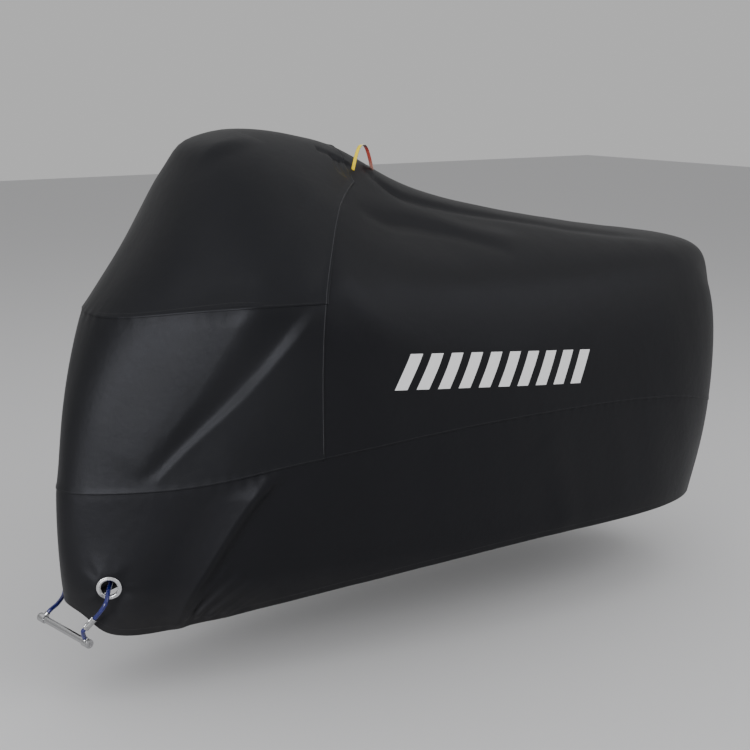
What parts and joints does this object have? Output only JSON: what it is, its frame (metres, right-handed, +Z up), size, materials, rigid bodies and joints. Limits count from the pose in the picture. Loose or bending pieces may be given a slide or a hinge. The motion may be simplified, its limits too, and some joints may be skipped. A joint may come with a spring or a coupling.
{
  "type": "motorcycle cover",
  "caption": "Fitted cloth cover for a motorcycle or scooter, hollow and open below, sewn from panels, with a pull loop, two skirt eyelets and a cable lock through them.",
  "frame": {"origin": "under the crown of the hood on the centre plane, where the cover rests on the machine below it", "axes": "+X towards the rear of the cover along its length, +Y from the side with the lock's barrel and keyhole to the other side, +Z up"},
  "size_m": [2.0504, 0.7934, 1.1477],
  "materials": {
    "cloth_light": "coated woven polyester, satin, slightly lighter where it is stretched",
    "cloth_dark": "coated woven polyester, satin, near black",
    "eyelet_metal": "plated metal, bright",
    "loop_tape": "narrow woven tape, striped across in yellow, pale grey, grey and red",
    "cable_sleeve": "glossy navy blue vinyl sleeve over a steel cable",
    "lock_metal": "satin plated steel"
  },
  "bodies": {
    "root": {"hood_panel": "cloth_light", "band_panel": "cloth_light", "body_panel": "cloth_dark", "skirt_panel": "cloth_dark", "eyelet_near": "eyelet_metal", "eyelet_far": "eyelet_metal", "pull_loop": "loop_tape", "lock_cable": "cable_sleeve", "lock_ferrule": "lock_metal", "lock_barrel": "lock_metal", "lock_head_near": "lock_metal", "lock_head_far": "lock_metal"}
  },
  "joints": []
}
